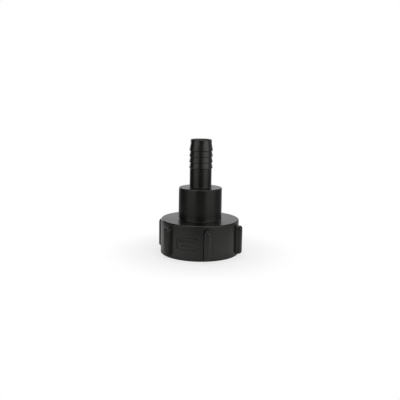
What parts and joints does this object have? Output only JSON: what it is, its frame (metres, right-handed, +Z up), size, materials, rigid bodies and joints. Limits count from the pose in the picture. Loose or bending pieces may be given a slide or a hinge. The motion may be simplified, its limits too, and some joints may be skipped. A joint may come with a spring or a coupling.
{
  "type": "ibc tap adapter",
  "caption": "Ribbed screw cap with a coarse internal thread, a cored collar and a barbed hose tail, for a bulk container outlet.",
  "frame": {"origin": "centre of the cap's open rim, on the surface that the adapter stands on", "axes": "+Z up along the axis through cap, collar and hose tail; -Y is the side the picture shows, and the rib nearest to it stands 10.2 degrees round towards +X"},
  "size_m": [0.076, 0.079, 0.1026],
  "materials": {
    "black_plastic": "satin moulded polypropylene",
    "black_rubber": "matt sheet rubber"
  },
  "bodies": {
    "root": {"adapter_body": "black_plastic", "sealing_gasket": "black_rubber"}
  },
  "joints": []
}
